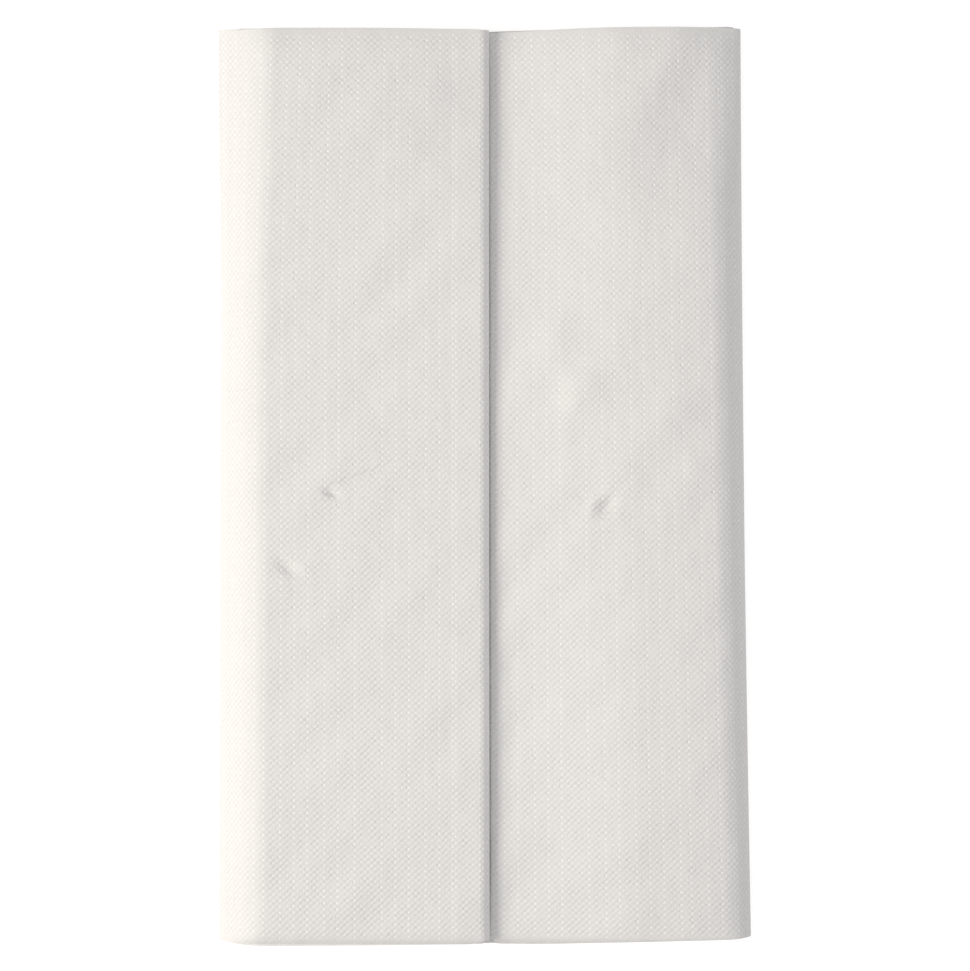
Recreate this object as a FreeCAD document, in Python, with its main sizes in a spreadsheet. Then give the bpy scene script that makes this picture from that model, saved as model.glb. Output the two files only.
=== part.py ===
import FreeCAD, Part
import math
import os
import Sketcher

# A paper tablecloth, folded flat as it is sold: one embossed sheet of paper. The sheet is folded back
# and forth along its length into a long strip of several plies. Then both ends of the strip are folded
# in to its middle, three times over. The bundle lies on its back, and the last two folds meet in a slit
# down the middle of its upper side.
# Millimetres. X runs across the bundle, Y along it and Z up. The origin is in the middle of its foot.

doc = FreeCAD.newDocument("PaperTablecloth")

# ---- Driving sizes ----
SIZES = {
    "folded_width": 180.0,  # across the bundle, over its rounded sides
    "folded_length": 314.0,  # along the bundle, over the folds of the plies
    "slit_width": 1.0,  # between the two edges that meet down the middle
    "ply_count": 8,  # plies of the strip
    "ply_thickness": 0.21,  # the embossed paper
    "ply_gap": 0.072,  # air between two plies of the strip
    "layer_gap": 0.072,  # air between two layers of the folded strip
}
GATE_FOLDS = 3  # times that both ends of the strip are folded in to its middle

sizes = doc.addObject("Spreadsheet::Sheet", "Sizes")
for row, (name, size) in enumerate(SIZES.items(), start=1):
    sizes.set(f"A{row}", name)
    sizes.set(f"B{row}", str(size))
    sizes.setAlias(f"B{row}", name)
doc.recompute()

# ---- Sizes that follow, as expressions on the sheet ----
INNER_RADIUS = "(Sizes.ply_gap / 2)"  # of a ply's fold, on the inside
OUTER_RADIUS = "(Sizes.ply_gap / 2 + Sizes.ply_thickness)"  # of a ply's fold, on the outside
STRIP_THICKNESS = "(Sizes.ply_count * (Sizes.ply_thickness + Sizes.ply_gap) - Sizes.ply_gap)"
LAYER_PITCH = f"({STRIP_THICKNESS} + Sizes.layer_gap)"
SLIT_SIDE = "(Sizes.slit_width / 2)"
BUNDLE_SIDE = "(Sizes.folded_width / 2)"
BUNDLE_END = "(Sizes.folded_length / 2)"


def measure(expression):
    """The number of millimetres that an expression on the sheet gives."""
    return float(sizes.evalExpression(expression))


# ---- Sketching ----
ORIGIN = (-1, 1)  # a sketch's own origin, as its constraints name it


def add_sketch(body, plane_role, name):
    """A new sketch on one of the body's origin planes."""
    sketch = body.newObject("Sketcher::SketchObject", name)
    plane = next(item for item in body.Origin.OriginFeatures if item.Role == plane_role)
    sketch.AttachmentSupport = (plane, [""])
    sketch.MapMode = "FlatFace"
    return sketch


def bind(sketch, kind, points, expression):
    """Add a dimension whose size is an expression on the sheet."""
    index = sketch.addConstraint(Sketcher.Constraint(kind, *points, measure(expression)))
    sketch.setExpression(f"Constraints[{index}]", expression)


def bind_across(sketch, point, place):
    """Tie a point to its place across the sketch: a side of the middle, +1 or -1, and a distance."""
    side, distance = place
    bind(sketch, "DistanceX", ORIGIN + point if side > 0 else point + ORIGIN, distance)


def add_folded_line(sketch, start, height, turns, end):
    """Draw level runs joined by half-round turns, and give back the first run and the last.

    start and end are places across the sketch, and height is the first run's. A turn has the place of
    its centre, its radius, the side that it bulges to, and whether it rises, +1, or falls, -1.
    """
    runs = []
    joint = None
    place, level = start, measure(height)
    for next_place, radius, bulge, rise in turns + [(end, None, None, None)]:
        ends = [FreeCAD.Vector(side * measure(distance), level, 0) for side, distance in (place, next_place)]
        run = sketch.addGeometry(Part.LineSegment(*ends))
        runs.append(run)
        sketch.addConstraint(Sketcher.Constraint("Horizontal", run))
        if joint:
            sketch.addConstraint(Sketcher.Constraint("Tangent", *joint, run, 1))
        if radius:
            centre = ends[1] + FreeCAD.Vector(0, rise * measure(radius), 0)
            circle = Part.Circle(centre, FreeCAD.Vector(0, 0, 1), measure(radius))
            opening = -bulge * math.pi / 2  # an arc goes anticlockwise from its first point
            arc = sketch.addGeometry(Part.ArcOfCircle(circle, opening, opening + math.pi))
            way_in, way_out = (1, 2) if bulge == rise else (2, 1)
            sketch.addConstraint(Sketcher.Constraint("Tangent", run, 2, arc, way_in))
            bind(sketch, "Radius", (arc,), radius)
            bind_across(sketch, (arc, 3), next_place)
            joint = (arc, way_out)
            level += 2 * rise * measure(radius)
        place = next_place
    bind(sketch, "DistanceY", ORIGIN + (runs[0], 1), height)
    bind_across(sketch, (runs[0], 1), start)
    bind_across(sketch, (runs[-1], 2), end)
    return runs[0], runs[-1]


# ---- The path of the strip, across the bundle ----
def gate_folded(times):
    """The layer, from the bottom, that each panel of half the strip lies in, from its middle out."""
    stacks = [[panel] for panel in range(2**times)]
    while len(stacks) > 1:
        half = len(stacks) // 2
        stacks = [low + high[::-1] for low, high in zip(stacks[:half], reversed(stacks[half:]))]
    return [stacks[0].index(panel) for panel in range(2**times)]


def strip_turns(layers):
    """The turns of the right half of the strip, from its middle out.

    They are at the side of the bundle and at the slit by turns, and those that lie one inside another
    share the centre of the outermost.
    """
    spans = [(min(pair), max(pair)) for pair in zip(layers, layers[1:])]
    turns = []
    for index, (low, high) in enumerate(spans):
        around = [span for span in spans[index % 2 :: 2] if span[0] <= low and high <= span[1]]
        widest = max(top - bottom for bottom, top in around)
        reach = f"{widest / 2} * {LAYER_PITCH} + {STRIP_THICKNESS} / 2"
        if index % 2 == 0:
            bulge, centre = 1, f"{BUNDLE_SIDE} - ({reach})"
        else:
            bulge, centre = -1, f"{SLIT_SIDE} + {reach}"
        rise = 1 if layers[index] == low else -1
        turns.append(((1, centre), f"{(high - low) / 2} * {LAYER_PITCH}", bulge, rise))
    return turns


def mirrored(turns):
    """The turns of the left half of the strip, from its edge to its middle."""
    return [((-1, centre), radius, -bulge, -rise) for (_, centre), radius, bulge, rise in reversed(turns)]


tablecloth = doc.addObject("PartDesign::Body", "tablecloth")
tablecloth.Label = "tablecloth"
tablecloth.Placement = FreeCAD.Placement()

layers = gate_folded(GATE_FOLDS)
edge_layer = f"{layers[-1]} * {LAYER_PITCH}"  # height of the layer that the sheet's side edges lie in
turns_right = strip_turns(layers)
path = add_sketch(tablecloth, "XZ_Plane", "StripPath")
add_folded_line(
    path,
    start=(-1, SLIT_SIDE),
    height=f"{edge_layer} + {STRIP_THICKNESS} / 2",
    turns=mirrored(turns_right) + turns_right,
    end=(1, SLIT_SIDE),
)

# ---- The section of the strip: its plies, along the bundle ----
plies = SIZES["ply_count"]
fold_centre = f"{BUNDLE_END} - {OUTER_RADIUS}"
fold_sides = [1 if ply % 2 == 0 else -1 for ply in range(plies)]
section = add_sketch(tablecloth, "YZ_Plane", "StripSection")
section.setExpression("AttachmentOffset.Base.z", f"-{SLIT_SIDE}")
faces = [
    add_folded_line(
        section,
        start=(-1, BUNDLE_END),
        height=f"{edge_layer} + {rise}",
        turns=[((side, fold_centre), radii[side], side, 1) for side in fold_sides[:-1]],
        end=(fold_sides[-1], BUNDLE_END),
    )
    for rise, radii in (
        ("0", {1: OUTER_RADIUS, -1: INNER_RADIUS}),
        ("Sizes.ply_thickness", {1: INNER_RADIUS, -1: OUTER_RADIUS}),
    )
]
for point, (under, upper) in enumerate(zip(*faces), start=1):
    corners = [section.getPoint(run, point) for run in (under, upper)]
    cut_edge = section.addGeometry(Part.LineSegment(*corners))
    section.addConstraint(Sketcher.Constraint("Coincident", cut_edge, 1, under, point))
    section.addConstraint(Sketcher.Constraint("Coincident", cut_edge, 2, upper, point))

# ---- The section carried along the path ----
folded_sheet = tablecloth.newObject("PartDesign::AdditivePipe", "FoldedSheet")
folded_sheet.Profile = (section, [""])
folded_sheet.Spine = (path, [])
tablecloth.Tip = folded_sheet
doc.recompute()

# ---- Check and write ----
for item in doc.Objects:
    if {"Invalid", "Error"} & set(item.State):
        raise RuntimeError(f"{item.Name} is {item.State}")
shape = tablecloth.Shape
if shape.isNull() or not shape.isValid() or len(shape.Solids) != 1:
    raise RuntimeError("the tablecloth is not one valid solid")

sheet_width = path.Shape.Length
section_area = Part.Face(section.Shape.Wires[0]).Area
if abs(shape.Volume - section_area * sheet_width) > 1e-6 * shape.Volume:
    raise RuntimeError("the folded sheet has not the volume of its section along its path")
sheet_length = section_area / measure("Sizes.ply_thickness")
print(f"the flat sheet is {sheet_width:.1f} by {sheet_length:.1f} mm")
print(f"the paper's volume is {shape.Volume:.0f} mm3")

os.makedirs("parts", exist_ok=True)
shape.exportStep(f"parts/{tablecloth.Label}.step")
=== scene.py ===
import math

import bpy
import numpy as np
from mathutils import Matrix, Vector


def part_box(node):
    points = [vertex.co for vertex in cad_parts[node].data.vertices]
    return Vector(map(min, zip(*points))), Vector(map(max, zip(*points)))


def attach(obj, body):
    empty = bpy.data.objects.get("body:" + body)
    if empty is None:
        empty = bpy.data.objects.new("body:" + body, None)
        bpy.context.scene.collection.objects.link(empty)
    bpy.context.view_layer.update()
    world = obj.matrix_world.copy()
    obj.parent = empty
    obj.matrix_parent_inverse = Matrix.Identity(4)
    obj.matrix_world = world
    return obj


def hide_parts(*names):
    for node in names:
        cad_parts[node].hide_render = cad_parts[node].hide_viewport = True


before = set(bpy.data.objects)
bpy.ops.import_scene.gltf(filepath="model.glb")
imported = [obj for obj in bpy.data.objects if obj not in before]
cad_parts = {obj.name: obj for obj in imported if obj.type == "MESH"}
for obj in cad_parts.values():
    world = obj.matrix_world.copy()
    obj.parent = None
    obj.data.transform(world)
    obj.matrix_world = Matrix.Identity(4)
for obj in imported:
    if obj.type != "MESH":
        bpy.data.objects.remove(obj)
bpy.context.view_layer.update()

# ---- The tablecloth ----
# One sheet of white embossed paper. It is folded to and fro along its length into a strip of eight plies.
# The strip's ends are folded in to its middle three times over, and the last two folds meet in a slit.
# A grid of the flat sheet is laid along those folds, and then moved the way loose paper settles.
MM = 0.001
low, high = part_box("tablecloth")
WIDTH, LENGTH, HEIGHT = (high - low) / MM  # the shape is worked out in millimetres
HALF_WIDTH = WIDTH / 2
HALF_LENGTH = LENGTH / 2

PLIES = 8
LAYERS = (0, 7, 4, 3, 2, 5, 6, 1)  # where each panel of half the strip lies, from its middle out
TOP = max(LAYERS)
FOOT = min(LAYERS)
UNDER_FLAP = LAYERS[LAYERS.index(TOP) + 1]  # the upper panel's fold at the slit joins it to this layer
PLY_PITCH = 0.25
PAPER = 0.2
STRIP_HALF = (PLIES - 1) / 2 * PLY_PITCH  # from the middle of the strip to the middle of its outer ply
LAYER_PITCH = (HEIGHT - PAPER - 2 * STRIP_HALF) / (TOP - FOOT)
PLY_SHORTFALLS = (0, 0.5, 0.1, 0.7, 0.3, 0.6, 0.2, 0)  # no two plies turn back at the same place
PANEL_SLIP = 0.45  # the panels slip a little along the bundle as they are folded over
SLIP_PITCH = 210

TURN = 2 * math.pi

TOP_CELL = 2  # the mesh is fine where it shows
FOOT_CELL = 5
HIDDEN_CELL = 11
TOP_FOLD_STEPS = 16
HIDDEN_FOLD_STEPS = 8
PLY_FOLD_STEPS = 4
TIP_STEPS = (0.982, 0.99, 0.994, 0.996, 0.9975, 0.999, 1)  # the outer ply is finest at its ends
HIDDEN_STEPS = (0.2, 0.6, 0.85, 0.95, 0.985, 1)


def layer_height(layer):
    return PAPER / 2 + STRIP_HALF + layer * LAYER_PITCH


def strip_turns():
    """The turns of the strip's right half, from its middle out: centre, the layers joined, and bulge."""
    spans = [(min(pair), max(pair)) for pair in zip(LAYERS, LAYERS[1:])]
    turns = []
    for index, (under, over) in enumerate(spans):
        around = [b - a for a, b in spans[index % 2 :: 2] if a <= under and over <= b]
        reach = max(around) / 2 * LAYER_PITCH + STRIP_HALF + PAPER / 2
        at_side = index % 2 == 0
        centre = HALF_WIDTH - reach if at_side else reach
        turns.append((centre, LAYERS[index], LAYERS[index + 1], 1 if at_side else -1))
    return turns


def strip_path():
    """Points along the middle of the strip: place across, height, and the direction of its outer face."""
    right_half = strip_turns()
    left_half = [(-centre, after, before, -bulge) for centre, before, after, bulge in reversed(right_half)]
    edge = PAPER / 2
    points = []
    x = -edge
    for centre, before, after, bulge in left_half + right_half + [(edge, LAYERS[-1], None, None)]:
        heading = 1 if centre > x else -1
        cell = {TOP: TOP_CELL, FOOT: FOOT_CELL}.get(before, HIDDEN_CELL)
        for place in np.linspace(x, centre, math.ceil(abs(centre - x) / cell) + 1):
            points.append((place, layer_height(before), 0, -heading))
        if after is None:
            return np.array(points)
        rise = 1 if after > before else -1
        radius = abs(after - before) / 2 * LAYER_PITCH
        middle = (layer_height(after) + layer_height(before)) / 2
        outside = heading * rise
        steps = TOP_FOLD_STEPS if TOP in (before, after) else HIDDEN_FOLD_STEPS
        for angle in np.linspace(-math.pi / 2, math.pi / 2, steps + 1)[1:-1]:
            across = bulge * math.cos(angle)
            up = rise * math.sin(angle)
            points.append((centre + radius * across, middle + radius * up, outside * across, outside * up))
        x = centre


def ply_path():
    """Points along the length of the sheet: place along the bundle, and distance from the strip's middle."""
    fold = HALF_LENGTH - PLY_PITCH / 2 - PAPER / 2
    tips = np.array(TIP_STEPS)
    between = np.linspace(-tips[0], tips[0], math.ceil(LENGTH / TOP_CELL))[1:-1]
    fine = np.concatenate([-tips[::-1], between, tips])
    hidden = np.array(HIDDEN_STEPS)
    coarse = np.concatenate([-hidden[::-1], hidden])
    points = []
    start = -HALF_LENGTH
    for ply in range(PLIES):
        heading = 1 if ply % 2 == 0 else -1
        last = ply == PLIES - 1
        stop = heading * (HALF_LENGTH if last else fold - PLY_SHORTFALLS[ply])
        out = STRIP_HALF - ply * PLY_PITCH
        for step in fine if ply == 0 else coarse:
            points.append((start + (stop - start) * (step + 1) / 2, out))
        if not last:
            for angle in np.linspace(0, math.pi, PLY_FOLD_STEPS + 1)[1:-1]:
                beyond = heading * PLY_PITCH / 2 * math.sin(angle)
                points.append((stop + beyond, out - PLY_PITCH / 2 * (1 - math.cos(angle))))
        start = stop
    return np.array(points)


def ease(value, start, stop):
    """0 before start, 1 after stop, and smooth between them."""
    t = np.clip((value - start) / (stop - start), 0, 1)
    return t * t * (3 - 2 * t)


def swell(value, middle, half_width):
    """A soft swell, 1 at its middle."""
    return np.exp(-(((value - middle) / half_width) ** 2))


def lid(up):
    """1 at the upper face, and 0 from the middle of the height down."""
    return np.clip(2 * up - 1, 0, 1)


# How the loose paper lies, in millimetres. Of two values that go by side the left side's comes first, and of
# two that go by end the near end's.
SIDE_SQUARENESS = (2.6, 2.0)  # 2 is a round fold, and more is pressed squarer
SLIT_SQUARENESS = (2.65, 2.5)
TINY = 0.001  # used in place of 0, by which nothing can be divided


def press_fold(beyond, above, squareness):
    """How much further out a point of a round fold lies when the fold is pressed squarer."""
    out = np.maximum(beyond, TINY)
    reach = np.hypot(out, above)
    pressed = ((out / reach) ** squareness + (np.abs(above) / reach) ** squareness) ** (-1 / squareness)
    return np.where(beyond > 0, pressed, 1)


def press_side_folds(x, z, at_left):
    core = HEIGHT / 2
    beyond = np.maximum(np.abs(x) - (HALF_WIDTH - core), 0) / core
    above = (z - core) / core
    press = press_fold(beyond, above, np.where(at_left, *SIDE_SQUARENESS))
    x = np.sign(x) * (np.minimum(np.abs(x), HALF_WIDTH - core) + beyond * press * core)
    return x, core + above * press * core


def press_slit_folds(x, z, at_left):
    fold_radius = (TOP - UNDER_FLAP) / 2 * LAYER_PITCH + STRIP_HALF + PAPER / 2
    fold_middle = HEIGHT - fold_radius
    beyond = np.maximum(fold_radius - np.abs(x), 0) / fold_radius
    above = np.maximum(z - fold_middle, 0) / fold_radius
    press = press_fold(beyond, above, np.where(at_left, *SLIT_SQUARENESS))
    x = np.where(at_left, -1, 1) * (np.maximum(np.abs(x), fold_radius) - beyond * press * fold_radius)
    return x, np.where(above > 0, fold_middle + above * press * fold_radius, z)


LEAN = (6.9, -1.6)  # both sides lean in towards the top, the left one more
LEAN_FAR = (2.0, -1.6)  # and more at the far end
LEAN_FAR_FROM = 0.3
LEAN_CURVE = 1.5
SIDE_SHIFT = (2.4, -0.3)
SEAM = 2.2  # the left flap reaches past the middle of the bundle, the far end most
SEAM_SLANT = 0.12
TUCKED = 0.28  # the right flap starts a little under the left one
TUCKED_TIP = 0.7
VERY_END = 20  # a power of the place along, which leaves only the last centimetre
FLAP = 40  # how far from the slit the flaps are pulled across
FLAP_HEIGHTS = (0.42, 0.62)
SUNK = 4.6  # the right flap sinks beside the left one
SUNK_FROM = 4
SUNK_TO = 55
OFF_MIDDLE = (0.1, 0.5)  # and off the middle of the bundle it sinks more, over a broader band
SUNK_OFF_MIDDLE = 0.6
SUNK_BROADER = 5
RIGHT_FALL = 2.0
RIGHT_FALL_OVER = (66, 95)


def lean_and_lap(x, y, z, at_left):
    """The sides lean, the left flap laps over the slit, and the right flap sinks beside it."""
    side = np.abs(x) / HALF_WIDTH
    end = y / HALF_LENGTH
    up = z / HEIGHT
    far = np.where(at_left, ease(end, LEAN_FAR_FROM, 1), end)
    lean = np.where(at_left, *LEAN) + np.where(at_left, *LEAN_FAR) * far
    x = x + (lean * (2 * up - 1) + np.where(at_left, *SIDE_SHIFT)) * side**LEAN_CURVE
    off_middle = ease(np.abs(end), *OFF_MIDDLE)
    pull = np.where(at_left, SEAM + SEAM_SLANT * end, SEAM - TUCKED - TUCKED_TIP * end**VERY_END)
    x = x + pull * (1 - ease(np.abs(x), 0, FLAP)) * ease(up, *FLAP_HEIGHTS)
    beside_slit = 1 - ease(x, SUNK_FROM + SUNK_BROADER * off_middle, SUNK_TO)
    sunk = beside_slit * (SUNK + SUNK_OFF_MIDDLE * off_middle) + RIGHT_FALL * ease(x, *RIGHT_FALL_OVER)
    return x, z - lid(up) * np.where(at_left, 0, sunk)


SAG = 2.6  # at the far end the upper side sags across the slit
SAG_MIDDLE = (2, 138)
SAG_HALF_WIDTH = 26
STEP = 2.4  # towards the far right corner it steps down, along a slanting line
STEP_PLACE = (68, 140)
STEP_TURN = math.radians(20)
STEP_OVER = (-10, 9)
STEP_FROM = (85, 125)
SLOPE = 1.6  # near both ends it slopes down to the right
SLOPE_OVER = (10, 75)
SLOPE_FROM = (85, 140)


def sag_at_ends(x, y, at_left):
    """How far the upper side has sunk towards the ends, the far one most."""
    sag = SAG * swell(x, SAG_MIDDLE[0], SAG_HALF_WIDTH) * swell(y, SAG_MIDDLE[1], SAG_HALF_WIDTH)
    past_step = (x - STEP_PLACE[0]) * math.cos(STEP_TURN) - (y - STEP_PLACE[1]) * math.sin(STEP_TURN)
    step = STEP * ease(past_step, *STEP_OVER) * ease(y, *STEP_FROM)
    slope = SLOPE * ease(x, *SLOPE_OVER) * ease(np.abs(y), *SLOPE_FROM)
    return sag + np.where(at_left, 0, step + slope)


WIDENING = (0.2, 1.23, 0.52)  # towards the near end: a shift, by side, and by side squared
RIGHT_BOW = 0.5
NEAR_EDGE = (1.2, 0.4)  # neither end is quite square: by side, and by side squared
NEAR_DIP = 0.35
NEAR_DIP_PLACE = (25, 30)
FAR_EDGE = (0.25, 0.5)
FAR_DIP = (0.5, 1.15)
FAR_DIP_PLACE = (0, 28)
CORNER_STARTS = ((74, 84), (78, 80))  # the near end's two corners are drawn in, and the far end's two out
CORNER_DEPTHS = ((1.7, 0.6), (-0.9, -0.4))
CORNER_CURVE = 2.2
CORNER_FADE = 4
NOTCH = (1.5, 0.4)  # the upper corners of the flaps are drawn in at the slit
NOTCH_HALF_WIDTH = 3.5


def skew_ends(x, y, up, at_left):
    """The bundle widens towards its near end, and its ends run a little out of square."""
    end = y / HALF_LENGTH
    at_near_end = y < 0
    sideways = x / HALF_WIDTH
    x = x - end * (WIDENING[0] + WIDENING[1] * sideways + WIDENING[2] * sideways**2)
    x = x + RIGHT_BOW * end**2 * np.maximum(sideways, 0)
    near_edge = NEAR_EDGE[0] * sideways + NEAR_EDGE[1] * sideways**2
    near_edge = near_edge - np.where(at_left, 0, NEAR_DIP * swell(x, *NEAR_DIP_PLACE))
    far_edge = np.where(at_left, *FAR_EDGE) * sideways
    far_edge = far_edge - np.where(at_left, *FAR_DIP) * swell(x, *FAR_DIP_PLACE)
    y = y + np.where(at_near_end, near_edge, far_edge) * np.abs(end)
    starts, depths = (
        np.where(at_near_end, np.where(at_left, *near), np.where(at_left, *far))
        for near, far in (CORNER_STARTS, CORNER_DEPTHS)
    )
    past_start = np.maximum(np.abs(x) - starts, 0) / (HALF_WIDTH - starts)
    corner = depths * past_start**CORNER_CURVE * end**CORNER_FADE
    notch = np.where(at_near_end, *NOTCH) * lid(up) * swell(x, SEAM, NOTCH_HALF_WIDTH) * end**VERY_END
    return x, y - np.sign(y) * (corner + notch)


TIP_LENGTH = 2.8  # the ends of the upper side are pressed thin at their edges, the near one most
TIP_PRESSED = (2.9, 0.5)
LOOSE = 1.0  # the outer ply stands a little off the others, and ripples
LOOSE_FROM = 8
RIPPLE = 0.4
RIPPLE_WAVE = 0.3
RIPPLE_SPREAD = 9
RIPPLE_COUNT = 24
RIPPLE_SEED = 7
RIPPLE_RANGE = (0.1, 1)


def draw_ripples():
    """Each ripple's direction, two values, and its phase and strength."""
    return np.random.default_rng(RIPPLE_SEED).uniform(*RIPPLE_RANGE, (RIPPLE_COUNT, 4))


def rippled(x, y):
    """Slight random waves, about 1 at most, all slanting the same way."""
    total = 0
    for across, along, phase, strength in draw_ripples():
        total = total + strength * np.sin(RIPPLE_WAVE * (across * x - along * y) + RIPPLE_SPREAD * phase)
    return total / math.sqrt(RIPPLE_COUNT)


def loosen(x, y, up, outer_ply):
    """How far the outer ply rises off the bundle, less what its ends are pressed down."""
    to_end = HALF_LENGTH - np.abs(y)
    tip = np.clip(1 - to_end / TIP_LENGTH, 0, 1)
    pressed = lid(up) * np.where(y < 0, *TIP_PRESSED) * tip**2
    loose = outer_ply * lid(up) ** 2 * ease(to_end, 0, LOOSE_FROM)
    return loose * (LOOSE + RIPPLE * rippled(x, y)) - pressed


SWELLS = (  # the broad swells of the upper side: middle, half widths, turn in degrees, and height
    ((33.5, 33), (7, 7), 0, 1.25),
    ((24.9, 48), (7, 9), 0, 0.84),
    ((63.2, 26), (5, 9), -20, 0.54),
    ((-20, 135), (13, 5), 42, 0.74),
    ((-34, 142), (12, 3.5), 40, 0.35),
    ((31, 28.3), (3.5, 2.5), 60, 0.65),
    ((28.5, 17), (2.5, 9), 0, 0.27),
    ((72.5, 7), (3, 4), 0, 0.37),
)


def swollen(x, y):
    """How far the upper side stands up in its broad swells."""
    total = 0
    for middle, half_widths, turn, height in SWELLS:
        cosine, sine = math.cos(math.radians(turn)), math.sin(math.radians(turn))
        right, ahead = x - middle[0], y - middle[1]
        first = swell(right * cosine + ahead * sine, 0, half_widths[0])
        total = total + height * first * swell(ahead * cosine - right * sine, 0, half_widths[1])
    return total


def distance_along(points):
    return np.concatenate([[0], np.cumsum(np.linalg.norm(np.diff(points, axis=0), axis=1))])


# the neat folds, each point of the flat sheet in its place
strip = strip_path()
plies = ply_path()
x = strip[:, None, 0] + strip[:, None, 2] * plies[None, :, 1]
z = strip[:, None, 1] + strip[:, None, 3] * plies[None, :, 1]
y = np.broadcast_to(plies[None, :, 0], x.shape)
outer_ply = np.broadcast_to(plies[None, :, 1] > STRIP_HALF - PLY_PITCH / 4, x.shape)
at_left = x < 0

# the loose paper
x, z = press_side_folds(x, z, at_left)
x, z = press_slit_folds(x, z, at_left)
up = z / HEIGHT
slip = PANEL_SLIP * np.sin(TURN * distance_along(strip[:, :2]) / SLIP_PITCH)
x, z = lean_and_lap(x, y, z, at_left)
z = z - lid(up) * sag_at_ends(x, y, at_left)
x, y = skew_ends(x, y, up, at_left)
z = z + loosen(x, y, up, outer_ply) + lid(up) * swollen(x, y)
y = y + slip[:, None] * (1 - lid(up))

corners = np.stack([x, y, z], axis=-1) * MM
rows, columns = x.shape
first = (np.arange(rows - 1)[:, None] * columns + np.arange(columns - 1)).ravel()
quads = np.stack([first, first + columns, first + columns + 1, first + 1], axis=-1)
mesh = bpy.data.meshes.new("folded_tablecloth")
mesh.from_pydata(corners.reshape(-1, 3).tolist(), [], quads.tolist())
mesh.shade_smooth()

# every corner keeps its place on the flat sheet, in metres
MEASURED_AT = -101  # where along the bundle the sheet is measured across, on its outer ply
measured = np.argmin(np.abs(plies[outer_ply[0], 0] - MEASURED_AT))
across_flat = distance_along(corners[:, measured])
along_flat = distance_along(plies) * MM
flat = np.stack(np.meshgrid(across_flat, along_flat, indexing="ij"), axis=-1).reshape(-1, 2)
flat_sheet = mesh.uv_layers.new(name="flat_sheet")
flat_sheet.data.foreach_set("uv", flat[quads.ravel()].ravel().astype(np.float32))
tablecloth = bpy.data.objects.new("folded_tablecloth", mesh)
bpy.context.scene.collection.objects.link(tablecloth)

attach(tablecloth, "root")
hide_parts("tablecloth")


class Channel:
    """An output of a node. Arithmetic on it adds Math nodes, and node() adds any other node."""

    def __init__(self, tree, socket=None):
        self.tree = tree
        self.socket = socket

    def node(self, kind, settings, sockets, output=0):
        """Add a node, set it up, then fill its sockets with numbers, colours or other channels."""
        made = self.tree.nodes.new(kind)
        for name, setting in settings.items():
            setattr(made, name, setting)
        for name, value in sockets.items():
            if isinstance(value, Channel):
                self.tree.links.new(value.socket, made.inputs[name])
            else:
                made.inputs[name].default_value = value
        return Channel(self.tree, made.outputs[output])

    def beside(self, output):
        """Another output of the same node."""
        return Channel(self.tree, self.socket.node.outputs[output])

    def maths(self, operation, *values):
        return self.node("ShaderNodeMath", {"operation": operation}, dict(enumerate(values)))

    def __add__(self, other):
        return self.maths("ADD", self, other)

    def __sub__(self, other):
        return self.maths("SUBTRACT", self, other)

    def __rsub__(self, other):
        return self.maths("SUBTRACT", other, self)

    def __mul__(self, other):
        return self.maths("MULTIPLY", self, other)

    def __truediv__(self, other):
        return self.maths("DIVIDE", self, other)

    __radd__ = __add__

    def into(self, shader, name):
        self.tree.links.new(self.socket, shader.inputs[name])


paper = bpy.data.materials.new("embossed_paper")
paper.use_nodes = True
paper_shader = paper.node_tree.nodes["Principled BSDF"]
nodes = Channel(paper.node_tree)  # adds nodes to the paper's material
flat_place = nodes.node("ShaderNodeUVMap", {"uv_map": "flat_sheet"}, {}, "UV")
across = nodes.node("ShaderNodeSeparateXYZ", {}, {"Vector": flat_place}, "X")
along = across.beside("Y")
place = nodes.node("ShaderNodeTexCoord", {}, {}, "Object")


def clouds(size, detail):
    """Soft random patches of a size on the flat sheet, 0 to 1."""
    sockets = {"Vector": flat_place, "Scale": 1 / size, "Detail": detail}
    return nodes.node("ShaderNodeTexNoise", {"noise_dimensions": "2D"}, sockets)


def ramp(value, start_at, stop_at):
    """0 before the first value, 1 after the second, and straight between them."""
    return nodes.node("ShaderNodeMapRange", {}, {"Value": value, "From Min": start_at, "From Max": stop_at})


# The embossing is rows and columns of dots, each column half a row above the last, and weak links join the
# dots into slanting lines. Every fourth or fifth column is a string of rounder dots, which are painted
# brighter as a highlight.
COLUMN = 1.155 * MM
ROW = 2.12 * MM
WANDER = 0.4 * MM
WANDER_SIZE = 9 * MM
STRING_SHARE = 0.234
STRING_SWING = 0.1  # so that the strings are not evenly spaced
STRING_SWING_WAVE = 0.61


def is_string(column):
    """1 for a column that is a string and 0 for the rest, by the column's whole number."""
    spread = column * STRING_SHARE + nodes.maths("SINE", column * STRING_SWING_WAVE) * STRING_SWING
    return nodes.maths("LESS_THAN", nodes.maths("FRACT", spread), STRING_SHARE)


wander = (clouds(WANDER_SIZE, detail=0) - 0.5) * WANDER
row_phase = (along + wander) * (TURN / ROW)
columns_across = across / COLUMN
column_phase = columns_across * (TURN / 2)
column = nodes.maths("FLOOR", columns_across + 0.5)
gap = nodes.maths("FLOOR", columns_across)
string_here = is_string(column)
string_near = nodes.maths("MAXIMUM", is_string(column - 1), is_string(column + 1))
gap_near = nodes.maths("MAXIMUM", is_string(gap), is_string(gap + 1))
dot_columns = nodes.maths("COSINE", column_phase)
dot_lattice = dot_columns * nodes.maths("COSINE", row_phase)
link_lattice = nodes.maths("SINE", column_phase) * nodes.maths("SINE", row_phase)

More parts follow.
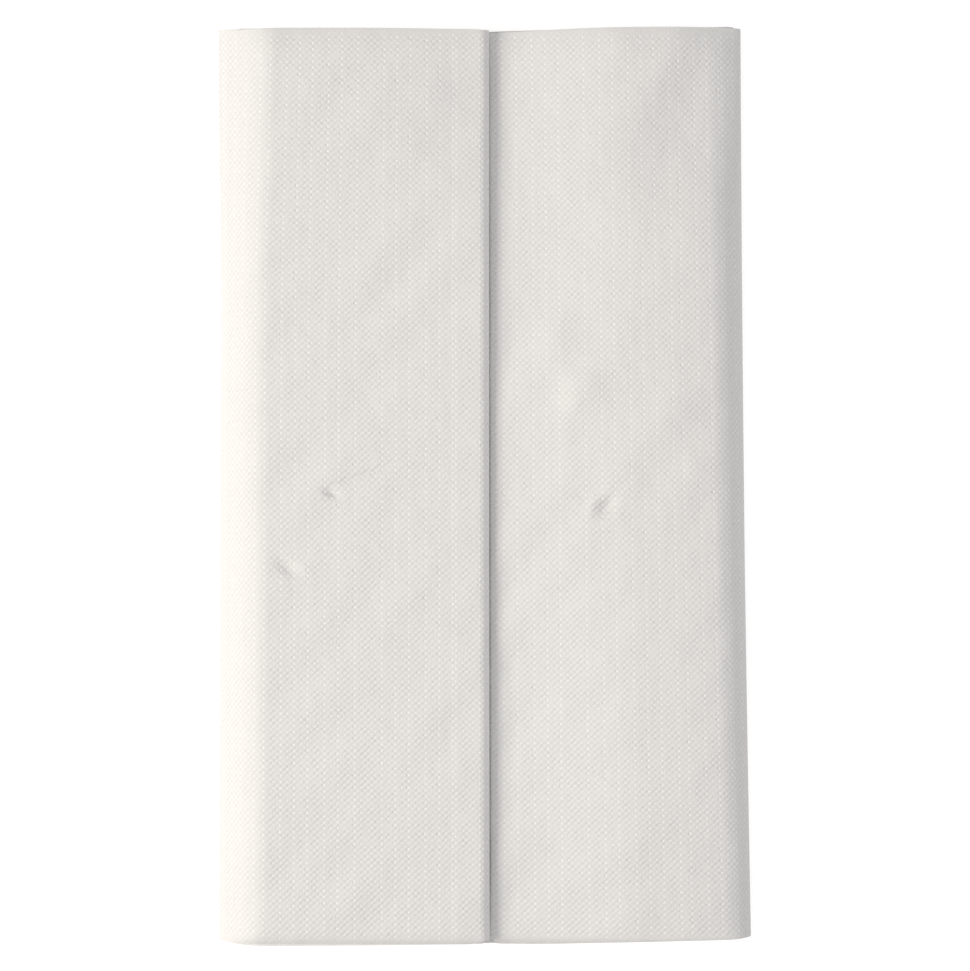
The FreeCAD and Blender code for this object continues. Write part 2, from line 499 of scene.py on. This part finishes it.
DOT = 0.57  # the lattice is weaker beside a string
DOT_NEAR_STRING = -0.2
LINK = 0.18
LINK_NEAR_STRING = -0.08
BEAD = 0.4
BEAD_NEAR_STRING = -0.25
BEAD_IN_STRING = 1.45
RIB_IN_STRING = 0.2
lines = dot_lattice * (DOT + string_near * DOT_NEAR_STRING)
lines = lines - link_lattice * (LINK + gap_near * LINK_NEAR_STRING)
bead = BEAD + string_near * BEAD_NEAR_STRING + string_here * BEAD_IN_STRING
beads = nodes.maths("MAXIMUM", dot_lattice, 0) * bead
beads = beads + dot_columns * dot_columns * string_here * RIB_IN_STRING

# It is fainter in patches, where the paper was pressed less, and worn smooth at the very ends of the bundle.
PATCH_SIZE = 2.8 * MM
PATCH_CLOUD = (0.3, 0.65)
FAINTEST = 0.35
WORN = 0.8
WORN_FROM = 153 * MM
WORN_TO = 155.5 * MM
from_middle = nodes.maths("ABSOLUTE", nodes.node("ShaderNodeSeparateXYZ", {}, {"Vector": place}, "Y"))
pressed = FAINTEST + ramp(clouds(PATCH_SIZE, detail=2), *PATCH_CLOUD) * (1 - FAINTEST)
pressed = pressed * (1 - ramp(from_middle, WORN_FROM, WORN_TO) * WORN)

# The relief, in millimetres: the embossing, the paper's fibres, and slight buckles.
EMBOSS_HEIGHT = 0.18
BEAD_SHARE = 0.3
FIBRE_SIZE = 0.7 * MM
FIBRE_HEIGHT = 0.12
BUCKLE_SIZE = 14 * MM
BUCKLE_HEIGHT = 0.5
relief = (lines + beads * BEAD_SHARE) * pressed * EMBOSS_HEIGHT
relief = relief + clouds(FIBRE_SIZE, detail=2) * FIBRE_HEIGHT
relief = relief + clouds(BUCKLE_SIZE, detail=2) * BUCKLE_HEIGHT

# The small dents and creases of the upper face: middle, half widths, turn in degrees, and height.
DENTS = (
    ((-51.9, -2.3), (2.7, 1.5), -20, -0.95),
    ((-40, 4.0), (14, 1.1), 20, -0.4),
    ((-66.8, -27.9), (4.2, 2.4), -35, -0.95),
    ((42.2, -7.4), (4.4, 2.3), 50, -1.3),
    ((37.6, -5.9), (3.2, 1.6), 50, 0.4),
    ((49.6, 2.6), (6, 2.0), 45, -0.18),
    ((32.6, -3.0), (1.6, 1.2), 20, -0.2),
    ((41.7, -99), (1.4, 1.4), 0, -0.2),
)
for middle, half_widths, turn, height in DENTS:
    sockets = {
        "Vector": place,
        "Location": (middle[0] * MM, middle[1] * MM, HEIGHT * MM),
        "Rotation": (0, 0, math.radians(turn)),
        "Scale": (half_widths[0] * MM, half_widths[1] * MM, HEIGHT / 2 * MM),
    }
    centred = nodes.node("ShaderNodeMapping", {"vector_type": "TEXTURE"}, sockets)
    distance_squared = nodes.node(
        "ShaderNodeVectorMath", {"operation": "DOT_PRODUCT"}, {0: centred, 1: centred}, "Value"
    )
    relief = relief + nodes.maths("POWER", math.e, 0 - distance_squared) * height
normal = nodes.node("ShaderNodeBump", {}, {"Height": relief, "Strength": 1.0, "Distance": MM})
normal.into(paper_shader, "Normal")

# The colour: painted light on the embossing, with the raised dots painted whiter as a highlight and the
# paper between them darker as painted shade, a random mottle, and painted shade that greys the ends.
SHADED_HOLLOW_PAPER = (0.772, 0.765, 0.757, 1)
HIGHLIT_DOT_PAPER = (0.975, 0.968, 0.959, 1)
DOT_LIGHT_RANGE = (-0.6, 1.15)
MOTTLE_SIZE = 25 * MM
MOTTLE = 0.1
# painted shade: the paper is made darker towards both ends of the bundle
END_SHADE = 0.06
END_SHADE_FROM = 95 * MM
END_SHADE_TO = 150 * MM
PAPER_ROUGHNESS = 0.9
MIX_A, MIX_B, MIX_RESULT = 6, 7, 2  # a Mix node's sockets for colours
# painted highlight on the raised dots and painted shade between them, with a random mottle
painted_light_and_mottle = ramp((lines + beads) * pressed, *DOT_LIGHT_RANGE) + clouds(MOTTLE_SIZE, detail=1) * MOTTLE
# painted shade towards both ends
painted_light_and_mottle = painted_light_and_mottle - ramp(from_middle, END_SHADE_FROM, END_SHADE_TO) * END_SHADE
paper_colour_and_painted_light = nodes.node(
    "ShaderNodeMix",
    {"data_type": "RGBA"},
    {"Factor": painted_light_and_mottle, MIX_A: SHADED_HOLLOW_PAPER, MIX_B: HIGHLIT_DOT_PAPER},
    MIX_RESULT,
)
paper_colour_and_painted_light.into(paper_shader, "Base Color")
paper_shader.inputs["Roughness"].default_value = PAPER_ROUGHNESS
mesh.materials.append(paper)

# ---- The floor ----
# A plain white studio floor, not part of the tablecloth. Seen straight, or in a gloss or through glass, it
# glows to white, and the tablecloth's shadow stays on it.
FLOOR_SIZE = 8
FLOOR_WHITE = 0.88
FLOOR_ROUGHNESS = 0.9
FLOOR_GLOW = 0.55
bpy.ops.mesh.primitive_plane_add(size=FLOOR_SIZE, location=(0, 0, 0))
floor = bpy.context.object
floor.name = "floor"
floor_paint = bpy.data.materials.new("white_floor")
floor_paint.use_nodes = True
floor_shader = floor_paint.node_tree.nodes["Principled BSDF"]
floor_shader.inputs["Base Color"].default_value = (FLOOR_WHITE, FLOOR_WHITE, FLOOR_WHITE, 1)
floor_shader.inputs["Roughness"].default_value = FLOOR_ROUGHNESS


def seen(tree):
    """1 for what is looked at, straight or in gloss or through glass, and 0 for the light it throws."""
    kinds = ("Is Camera Ray", "Is Glossy Ray", "Is Transmission Ray")
    straight, gloss, glass = (Channel(tree).node("ShaderNodeLightPath", {}, {}, kind) for kind in kinds)
    return straight + gloss + glass


floor_seen = seen(floor_paint.node_tree)
floor_plain = Channel(floor_paint.node_tree, floor_shader.outputs["BSDF"])
glow = floor_seen.node("ShaderNodeEmission", {}, {"Strength": FLOOR_GLOW})
lit = floor_seen.node("ShaderNodeAddShader", {}, {0: floor_plain, 1: glow})
mixed = floor_seen.node("ShaderNodeMixShader", {}, {0: floor_seen, 1: floor_plain, 2: lit})
mixed.into(floor_paint.node_tree.nodes["Material Output"], "Surface")
floor.data.materials.append(floor_paint)

# ---- The studio light ----
# Even white light from all round, a large warm soft box low on the left, and two faint white ones: one low
# on the right, and one overhead.
WHITE = (1, 1, 1)
WARM = (1, 0.94, 0.86)
WORLD_LIGHT = 0.4
BACKDROP = 1.0
world = bpy.data.worlds.new("studio")
bpy.context.scene.world = world
world.use_nodes = True
world_light = world.node_tree.nodes["Background"]
world_light.inputs["Color"].default_value = (*WHITE, 1)
world_light.inputs["Strength"].default_value = WORLD_LIGHT
world_seen = seen(world.node_tree)
backdrop = world_seen.node("ShaderNodeBackground", {}, {"Color": (*WHITE, 1), "Strength": BACKDROP})
plain = Channel(world.node_tree, world_light.outputs["Background"])
mixed = world_seen.node("ShaderNodeMixShader", {}, {0: world_seen, 1: plain, 2: backdrop})
mixed.into(world.node_tree.nodes["World Output"], "Surface")


def add_lamp(name, azimuth, elevation, distance, size, light, colour):
    """A round soft box that gives a surface facing it this much light."""
    turn, rise = math.radians(azimuth), math.radians(elevation)
    place = Vector((math.sin(turn) * math.cos(rise), -math.cos(turn) * math.cos(rise), math.sin(rise)))
    facing = place.to_track_quat("Z", "Y").to_euler()
    bpy.ops.object.light_add(type="AREA", location=place * distance, rotation=facing)
    lamp = bpy.context.object.data
    bpy.context.object.name = name
    lamp.shape = "DISK"
    lamp.size = size
    lamp.color = colour
    lamp.energy = light * math.pi**2 * distance**2


add_lamp("key_lamp", azimuth=-83, elevation=38, distance=2.0, size=1.0, light=0.64, colour=WARM)
add_lamp("fill_lamp", azimuth=90, elevation=25, distance=2.0, size=1.2, light=0.1, colour=WHITE)
add_lamp("top_lamp", azimuth=0, elevation=88, distance=0.9, size=0.5, light=0.08, colour=WHITE)

# ---- The camera ----
# It looks down on the tablecloth from well above through a long lens, a very little from the near end. It is
# aimed just off the middle of the bundle.
TILT = math.radians(0.3)
DISTANCE = 1.67
LENS = 180.1
SENSOR = 36
AIM = Vector((0.6, 0.1, HEIGHT / 2)) * MM
bpy.ops.object.camera_add()
camera = bpy.context.object
camera.data.sensor_width = SENSOR
camera.data.lens = LENS
away = Matrix.Translation((0, 0, DISTANCE))
camera.matrix_world = Matrix.Translation(AIM) @ Matrix.Rotation(TILT, 4, "X") @ away
bpy.context.scene.camera = camera
bpy.context.scene.view_settings.view_transform = "Standard"
